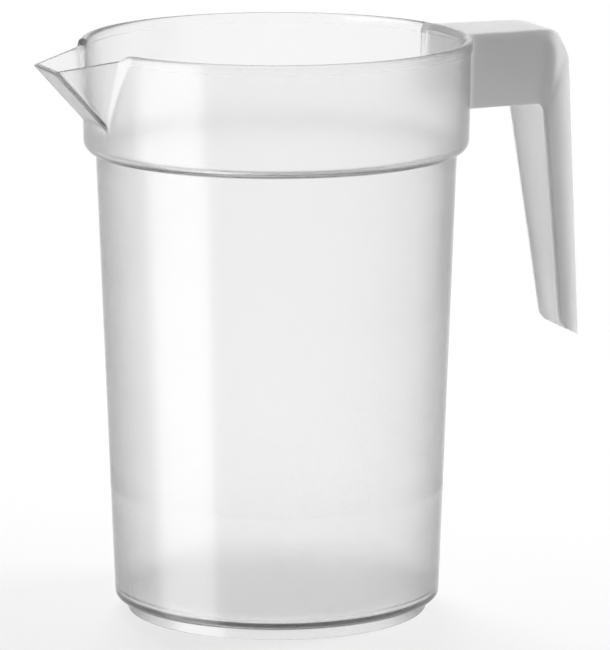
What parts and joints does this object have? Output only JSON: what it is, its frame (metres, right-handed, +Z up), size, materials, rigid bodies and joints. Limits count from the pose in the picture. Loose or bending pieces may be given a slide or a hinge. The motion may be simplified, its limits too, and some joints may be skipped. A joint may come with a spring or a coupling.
{
  "type": "plastic carafe",
  "caption": "Tall translucent carafe with a tapered body, a wider stacking collar, a pouring spout and an open hooked handle.",
  "frame": {"origin": "centre of the foot ring, on the plane the carafe stands on", "axes": "+Z up along the body's axis, +X towards the handle, -X towards the spout, +Y to the left of someone holding the handle"},
  "size_m": [0.1909, 0.13, 0.1925],
  "materials": {
    "polypropylene": "milky translucent polypropylene, smooth with a soft gloss"
  },
  "bodies": {
    "root": {"carafe": "polypropylene"}
  },
  "joints": []
}
